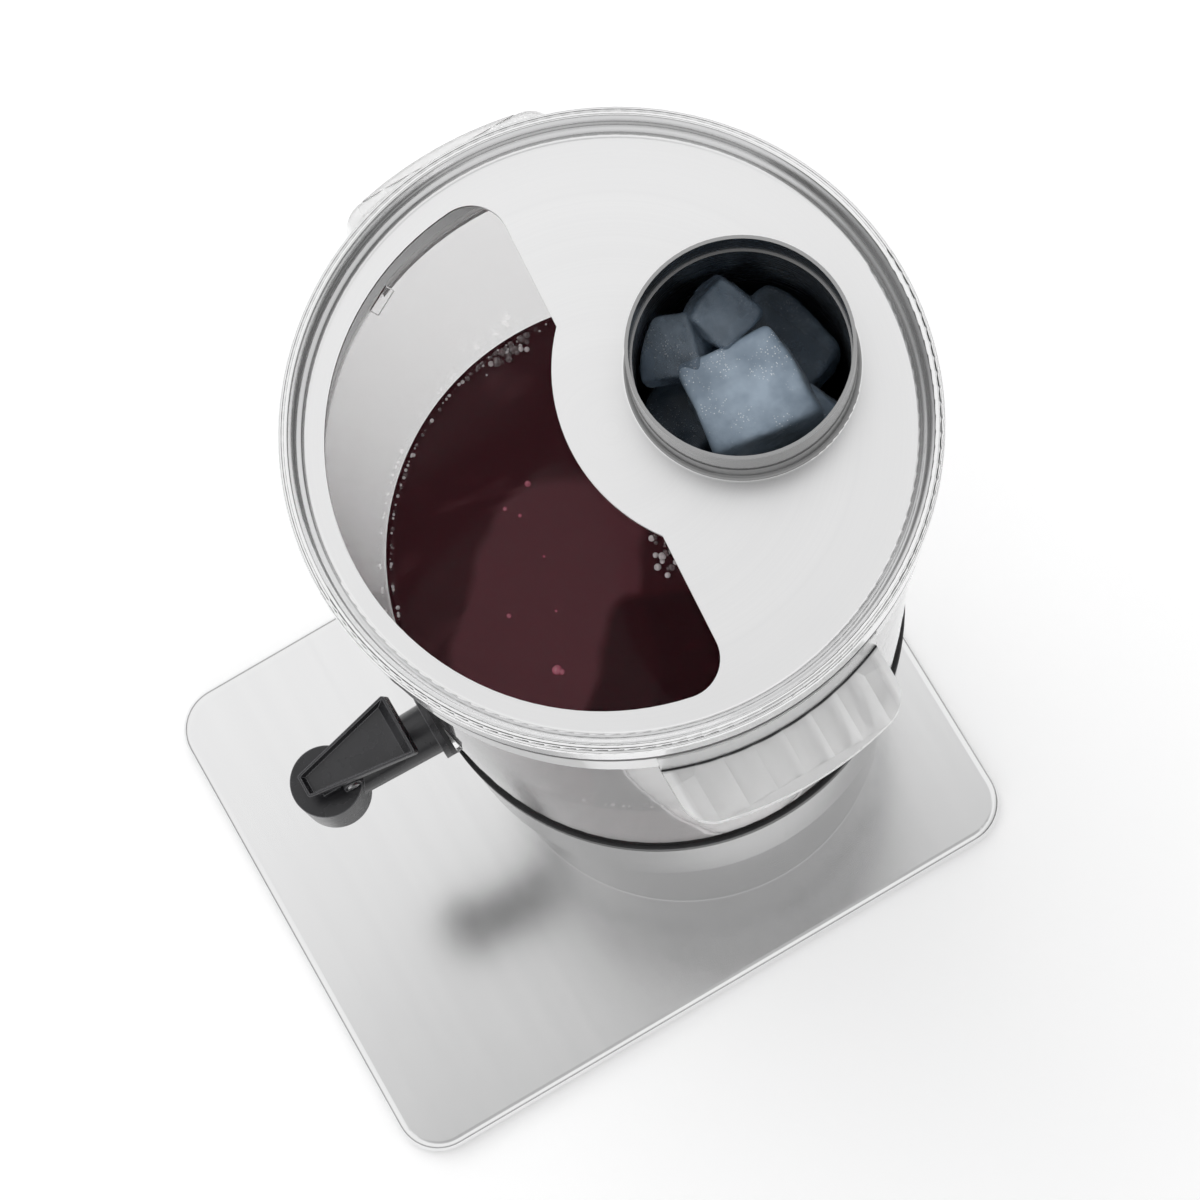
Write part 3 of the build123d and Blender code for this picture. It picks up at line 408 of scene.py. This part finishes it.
def lathe(profile, steps=160, centre_x=0.0, centre_y=AXIS_Y):
    """Closed solid of revolution about the upright axis through (centre_x, centre_y)."""
    mesh = bmesh.new()
    rings = []
    for radius, height in profile:
        if radius < 1e-6:
            rings.append([mesh.verts.new((centre_x, centre_y, height))])
            continue
        rings.append([
            mesh.verts.new((
                centre_x + radius * math.cos(2 * math.pi * i / steps),
                centre_y + radius * math.sin(2 * math.pi * i / steps),
                height,
            ))
            for i in range(steps)
        ])
    for low, high in zip(rings, rings[1:]):
        for i in range(steps):
            j = (i + 1) % steps
            corners = [low[i % len(low)], low[j % len(low)],
                       high[j % len(high)], high[i % len(high)]]
            unique = []
            for corner in corners:
                if corner not in unique:
                    unique.append(corner)
            mesh.faces.new(unique)
    bmesh.ops.recalc_face_normals(mesh, faces=mesh.faces)
    return mesh


def finished(mesh, name):
    data = bpy.data.meshes.new(name)
    mesh.to_mesh(data)
    mesh.free()
    return data


def applied(piece):
    """The mesh of a piece with its modifiers applied."""
    graph = bpy.context.evaluated_depsgraph_get()
    return bpy.data.meshes.new_from_object(piece.evaluated_get(graph))


# Juice
def juice_material():
    """Dark red drink with slow swirls in its body; its surface carries a painted pool of light
    where light falls through the window, painted shade round it and painted reflection streaks.
    """
    s = Shader("juice", IOR=1.34, Specular_IOR_Level=0.12)
    where = s.place()
    shift = s.add("VectorMath", {"operation": "MULTIPLY_ADD"})
    s.put(s.add("TexNoise", Vector=where, Scale=18.0, Detail=2.0).outputs["Color"], shift.inputs[0])
    s.put((0.03, 0.03, 0.0), shift.inputs[1])
    s.put(where, shift.inputs[2])
    shifted = shift.outputs[0]
    pool_turn = (0.0, 0.0, math.radians(-59.8))
    turned = s.add("Mapping", Vector=shifted, Rotation=pool_turn).outputs["Vector"]
    pool = s.radius(s.scaled(turned, (1.0, 0.55, 1.0)), 0.0359, -0.0068)
    far = s.radius(shifted, 0.085, 0.062)
    swirl_and_painted_streaks = s.noise(s.scaled(shifted, (1.0, 0.35, 1.0)), 60.0, 3.0, 0.6)
    # Painted light and shade on the surface: a pool of light, cut down to painted shade inside the
    # far patch, plus painted reflection streaks from the swirl noise
    light = s.span(pool, 0.0315, 0.0350, 1.0, 0.35)
    light = s.math("MULTIPLY", light, s.span(far, 0.053, 0.057, 0.15, 1.0))
    light = s.math("ADD", light, s.span(swirl_and_painted_streaks, 0.56, 0.72, 0.0, 0.45))
    surface = s.ramp(
        light,
        (0.0, (0.020, 0.0030, 0.0050)),
        (0.4, (0.048, 0.010, 0.014)),
        (1.0, (0.105, 0.032, 0.040)),
    )
    depth = s.split(where)["Z"]
    below = s.span(depth, JUICE_TOP - 0.004, JUICE_TOP - 0.0015, 1.0, 0.0)
    side = s.ramp(swirl_and_painted_streaks, (0.3, (0.085, 0.010, 0.016)), (0.7, (0.120, 0.016, 0.024)))
    ripple = s.noise(where, 24.0, 1.0, 0.4)
    return s.set(
        Base_Color=s.mix(below, surface, side),
        Roughness=0.04,
        Normal=s.bump(ripple, 0.04, 0.001),
    )


def wall_radius(height):
    """Inner radius of the container's wall."""
    return WALL_FOOT + WALL_RISE * (height - WALL_FOOT_Z)


def make_juice():
    """Drink that fills the container round the ice tube, risen a little where it meets the wall."""
    gap = 0.0003
    tube_gap = 0.0004
    above_juice = 0.4
    top = wall_radius(JUICE_TOP) - gap
    mesh = lathe([
        (0, FLOOR_Z + gap),
        (FOOT_RADIUS, FLOOR_Z + gap),
        (FOOT_RADIUS, FOOT_STEP_Z),
        (wall_radius(WALL_START_Z) - gap, WALL_START_Z),
        (top, JUICE_TOP + 0.0012),
        (top - 0.0006, JUICE_TOP + 0.0007),
        (top - 0.0016, JUICE_TOP + 0.0002),
        (top - 0.0032, JUICE_TOP),
        (top * 0.6, JUICE_TOP),
        (0, JUICE_TOP),
    ])
    solid = bpy.data.objects.new("juice_solid", finished(mesh, "juice_solid"))
    scene.collection.objects.link(solid)
    hole_foot = tube_low.z - 0.0005
    hole_radius = TUBE_R + tube_gap
    hole = lathe([
        (0, hole_foot),
        (hole_radius, hole_foot),
        (hole_radius, above_juice),
        (0, above_juice),
    ], 96, TUBE_X, TUBE_Y)
    cutter = bpy.data.objects.new("cutter", finished(hole, "cutter"))
    scene.collection.objects.link(cutter)
    knife = solid.modifiers.new("cut", "BOOLEAN")
    knife.operation, knife.object, knife.solver = "DIFFERENCE", cutter, "EXACT"
    mesh = applied(solid)
    bpy.data.objects.remove(solid)
    bpy.data.objects.remove(cutter)
    mesh.materials.clear()
    juice = new_piece("juice", mesh, juice_material(), "container")
    juice.data.set_sharp_from_angle(angle=math.radians(40))


def bubble_skin(name, colour, rough=0.06):
    """Wet bubble skin, a little uneven in colour."""
    s = Shader(name, IOR=1.45, Specular_IOR_Level=0.9)
    cloud = s.noise(s.place(), 900.0, 2.0, 0.6)
    return s.set(
        Base_Color=s.ramp(cloud, (0.3, dimmed(colour, 0.6)), (0.7, colour)),
        Roughness=s.span(cloud, 0.3, 0.7, rough, rough + 0.06),
    )


def bubbles(name, spots, finish):
    """Half-sunk bubbles on the drink; each spot is x, y and radius."""
    mesh = bmesh.new()
    for x, y, radius in spots:
        spot = Matrix.Translation((x, y, JUICE_TOP - radius * 0.2))
        spot = spot @ Matrix.Diagonal((1, 1, 0.85, 1))
        bmesh.ops.create_icosphere(mesh, subdivisions=2, radius=radius, matrix=spot)
    new_piece(name, finished(mesh, name), finish, "container")


def make_bubbles():
    random.seed(5)
    edge = wall_radius(JUICE_TOP)
    edge_gap = 0.0006
    dark, pale = [], []

    def spread(spots, angle, width, count, low, high, depth):
        """Bubbles against the wall, scattered about an angle and inwards by about depth."""
        for _ in range(count):
            radius = random.uniform(low, high)
            turn = math.radians(angle + random.gauss(0, width))
            away = edge - radius - edge_gap - abs(random.gauss(0, depth))
            spots.append((away * math.cos(turn), AXIS_Y + away * math.sin(turn), radius))

    # Angle, its spread in degrees, count, smallest and largest radius, depth
    for start in range(0, 360, 12):
        spread(pale, start, 4.0, 9, 0.0004, 0.0009, 0.0003)
        spread(dark, start, 5.0, 4, 0.0005, 0.0011, 0.0005)
    spread(dark, -176, 4.0, 26, 0.0007, 0.0018, 0.0028)
    spread(pale, -177, 3.5, 22, 0.0004, 0.0012, 0.0026)
    spread(dark, 40, 6.0, 18, 0.0006, 0.0014, 0.0022)
    spread(pale, 150, 8.0, 14, 0.0004, 0.0009, 0.0010)
    # Foam against the ice tube
    for _ in range(16):
        x, y = random.gauss(0.004, 0.004), random.gauss(0.0545, 0.0022)
        spot = (x, y, random.uniform(0.0007, 0.0018))
        (dark if random.random() < 0.55 else pale).append(spot)
    single = [
        (0.0222, 0.0029, 0.0019),
        (0.0236, 0.0040, 0.0012),
        (-0.0368, 0.0157, 0.0008),
        (-0.0029, -0.0020, 0.0009),
        (0.0547, 0.0480, 0.0010),
        (-0.0405, 0.0270, 0.0012),
        (-0.0320, 0.0190, 0.0007),
        (-0.0150, 0.0190, 0.0005),
        (0.0040, 0.0130, 0.0005),
        (0.0450, -0.0080, 0.0008),
    ]
    bubbles("foam_dark", dark, bubble_skin("foam_dark", (0.10, 0.05, 0.055)))
    bubbles("foam_pale", pale, bubble_skin("foam_pale", (0.72, 0.64, 0.65), 0.12))
    bubbles("bubbles_pink", single, bubble_skin("bubbles_pink", (0.50, 0.09, 0.15)))


make_juice()
make_bubbles()


# Ice
def ice_material(name, frost):
    """Ice with cloudy zones, fine cracks and trapped air; frost is how white it is."""
    s = Shader(name, IOR=1.31)
    where = s.place()
    cloud = s.noise(where, 38.0, 4.0, 0.6)
    edges = {"feature": "DISTANCE_TO_EDGE"}
    crack = s.add("TexVoronoi", edges, Vector=where, Scale=110.0).outputs["Distance"]
    air = s.add("TexVoronoi", Vector=where, Scale=1100.0).outputs["Distance"]
    patch = s.noise(where, 80.0, 3.0, 0.6)
    shade = s.ramp(cloud, (0.35, (0.17, 0.23, 0.30)), (0.66, (0.36, 0.44, 0.53)))
    specks = s.math("MULTIPLY", s.span(air, 0.16, 0.26, 1.0, 0.0),
                    s.span(patch, 0.54, 0.60, 0.0, 1.0))
    colour = s.mix(s.math("MULTIPLY", specks, 0.8), shade, (0.92, 0.96, 1.0))
    # Painted sheen: the base colour turns paler where the surface faces away from the view,
    # standing in for grazing reflection
    facing = s.add("LayerWeight", Blend=0.35).outputs["Facing"]
    height = s.math("ADD", s.noise(where, 170.0, 4.0, 0.6), s.math("MULTIPLY", crack, 0.25))
    height = s.math("ADD", height, s.math("MULTIPLY", specks, 0.3))
    return s.set(
        Base_Color=s.mix(s.span(facing, 0.45, 0.95, 0.0, 0.55), colour, (0.62, 0.72, 0.84)),
        Transmission_Weight=s.span(cloud, 0.38, 0.66, 0.95 - frost, 0.75 - frost),
        Roughness=s.span(cloud, 0.3, 0.7, 0.06, 0.26),
        Normal=s.bump(height, 0.42, 0.0014),
    )


def keep_in_tube(point):
    """Moves a point of the ice that lies beyond the bore or the floor of the tube to its inside."""
    reach = TUBE_R - 0.0020
    floor = tube_low.z + 0.0025
    out = Vector((point.x - TUBE_X, point.y - TUBE_Y))
    if out.length > reach:
        out *= reach / out.length
        point.x, point.y = TUBE_X + out.x, TUBE_Y + out.y
    point.z = max(point.z, floor)


def ice_cube(name, centre, size, turn, seed, finish, finest):
    """Block of ice with rounded, melted edges and uneven faces."""
    mesh = bmesh.new()
    bmesh.ops.create_cube(mesh, size=1.0)
    cuts = 6 if finest else 3
    bmesh.ops.subdivide_edges(mesh, edges=mesh.edges, cuts=cuts, use_grid_fill=True)
    shift = Vector((seed * 3.1, seed * 1.7, seed * 0.9))
    for vert in mesh.verts:
        p = vert.co.copy()
        ball = p.normalized() * 0.60
        p = p.lerp(ball, 0.10 + 0.75 * max(0.0, p.length - 0.62))
        p += noise.noise_vector(p * 1.4 + shift) * 0.09
        p += noise.noise_vector(p * 3.6 + shift) * 0.045
        vert.co = Vector((p.x * size[0], p.y * size[1], p.z * size[2]))
    bmesh.ops.rotate(mesh, verts=mesh.verts, matrix=turn)
    bmesh.ops.translate(mesh, verts=mesh.verts, vec=centre)
    for vert in mesh.verts:
        keep_in_tube(vert.co)
    cube = new_piece(name, finished(mesh, name), finish, "ice_tube")
    smooth = cube.modifiers.new("smooth", "SUBSURF")
    smooth.levels = smooth.render_levels = 2 if finest else 1


def make_ice():
    """Six cubes that show in the mouth of the tube, and plainer layers of three below them."""
    clear = ice_material("ice_clear", 0.15)
    frosted = ice_material("ice_frosted", 0.62)
    random.seed(11)
    noise.seed_set(5)
    # Place from the middle of the tube's mouth, size and tilt in degrees
    cubes = [
        ((0.0080, -0.0010, -0.0335), (0.033, 0.035, 0.028), (4, -5, -4), frosted),
        ((-0.0050, 0.0130, -0.0480), (0.033, 0.030, 0.024), (-8, 6, 14), clear),
        ((-0.0190, 0.0040, -0.0270), (0.019, 0.018, 0.021), (12, 20, 22), clear),
        ((-0.0180, -0.0140, -0.0320), (0.020, 0.020, 0.019), (20, 10, -24), clear),
        ((-0.0020, -0.0190, -0.0570), (0.026, 0.022, 0.024), (15, -10, 10), clear),
        ((0.0205, 0.0130, -0.0430), (0.017, 0.016, 0.018), (16, 22, 30), frosted),
    ]
    shown = len(cubes)
    ring, pitch, floor_gap = 0.0165, 0.0255, 0.016
    depth = -0.078
    layer = 0
    while tube_high.z + depth > tube_low.z + floor_gap:
        for i in range(3):
            angle = layer * 0.9 + i * 2 * math.pi / 3
            place = (ring * math.cos(angle), ring * math.sin(angle), depth)
            turn = (random.uniform(-20, 20), random.uniform(-20, 20), math.degrees(angle))
            cubes.append((place, (0.024, 0.024, 0.024), turn, clear))
        depth -= pitch
        layer += 1
    for i, (place, size, turn, finish) in enumerate(cubes):
        x, y, z = (Matrix.Rotation(math.radians(a), 3, axis) for a, axis in zip(turn, "XYZ"))
        centre = Vector((TUBE_X, TUBE_Y, tube_high.z)) + Vector(place)
        ice_cube(f"ice_{i:02d}", centre, size, z @ y @ x, i + 1, finish, i < shown)


make_ice()


# Floor and light
def make_floor():
    """Pale floor, a little lighter where it is seen directly, in metal or through plastic."""
    mesh = bmesh.new()
    bmesh.ops.create_grid(mesh, x_segments=1, y_segments=1, size=6.0)
    s = Shader("table", Roughness=0.6, Specular_IOR_Level=0.3,
               Emission_Color=(1.0, 1.0, 1.0, 1.0))
    cloud = s.noise(s.place(), 3.0)
    path = s.add("LightPath").outputs
    seen = s.math("MAXIMUM", path["Is Camera Ray"], path["Is Glossy Ray"])
    seen = s.math("MAXIMUM", seen, path["Is Transmission Ray"])
    s.set(
        Base_Color=s.ramp(cloud, (0.3, (0.885, 0.885, 0.888)), (0.7, (0.905, 0.905, 0.905))),
        Emission_Strength=s.math("MULTIPLY", seen, 0.19),
    )
    floor = bpy.data.objects.new("table", finished(mesh, "table"))
    scene.collection.objects.link(floor)
    floor.data.materials.append(s.material)


def softbox(name, place, aim, size, power):
    data = bpy.data.lights.new(name, "AREA")
    data.shape, data.size, data.size_y = "RECTANGLE", *size
    data.energy = power
    lamp = bpy.data.objects.new(name, data)
    scene.collection.objects.link(lamp)
    lamp.location = place
    lamp.rotation_mode = "QUATERNION"
    lamp.rotation_quaternion = (Vector(aim) - Vector(place)).to_track_quat("-Z", "Y")
    lamp.visible_glossy = False


def make_world():
    """White studio surround with a dimmer patch overhead and a dimmer band above the horizon."""
    world = bpy.data.worlds.new("studio")
    scene.world = world
    world.use_nodes = True
    tree = world.node_tree
    tree.nodes.clear()

    def node(kind, **settings):
        made = tree.nodes.new("ShaderNode" + kind)
        for key, value in settings.items():
            setattr(made, key, value)
        return made

    def smooth(value, numbers):
        """Smooth step of value, from and to the four numbers."""
        step = node("MapRange", interpolation_type="SMOOTHSTEP")
        tree.links.new(value, step.inputs["Value"])
        for socket, number in zip(step.inputs[1:5], numbers):
            socket.default_value = number
        return step.outputs["Result"]

    def joined(operation, first, second):
        made = node("Math", operation=operation)
        tree.links.new(first, made.inputs[0])
        tree.links.new(second, made.inputs[1])
        return made.outputs[0]

    def patch(centre, inner, outer, gain):
        """Gain inside a round patch of sky, falling to nothing at its outer edge."""
        away = node("VectorMath", operation="DISTANCE")
        tree.links.new(direction, away.inputs[0])
        away.inputs[1].default_value = Vector(centre).normalized()
        return smooth(away.outputs["Value"], (inner, outer, gain, 0.0))

    direction = node("TexCoord").outputs["Generated"]
    height = node("SeparateXYZ")
    tree.links.new(direction, height.inputs[0])
    level = smooth(height.outputs["Z"], (0.06, 0.50, 0.25, 1.0))
    for spot in (
        ((0.20, -0.02, 1.0), 0.24, 0.42, -0.50),
        ((-0.62, 0.05, 1.0), 0.20, 0.46, 0.02),
        ((0.9, 0.9, 0.25), 0.35, 0.80, -0.20),
    ):
        level = joined("ADD", patch(*spot), level)
    path = node("LightPath").outputs
    backdrop = node("Mix", data_type="FLOAT")
    seen = joined("MAXIMUM", path["Is Camera Ray"], path["Is Transmission Ray"])
    tree.links.new(seen, backdrop.inputs["Factor"])
    tree.links.new(level, backdrop.inputs[2])
    backdrop.inputs[3].default_value = 0.96
    light = node("Background")
    light.inputs["Color"].default_value = (1.0, 1.0, 1.0, 1.0)
    tree.links.new(backdrop.outputs[0], light.inputs["Strength"])
    tree.links.new(light.outputs[0], node("OutputWorld").inputs["Surface"])


make_floor()
softbox("key", (-1.25, -0.25, 2.1), (0, 0, 0.3), (1.7, 1.7), 12.0)
make_world()
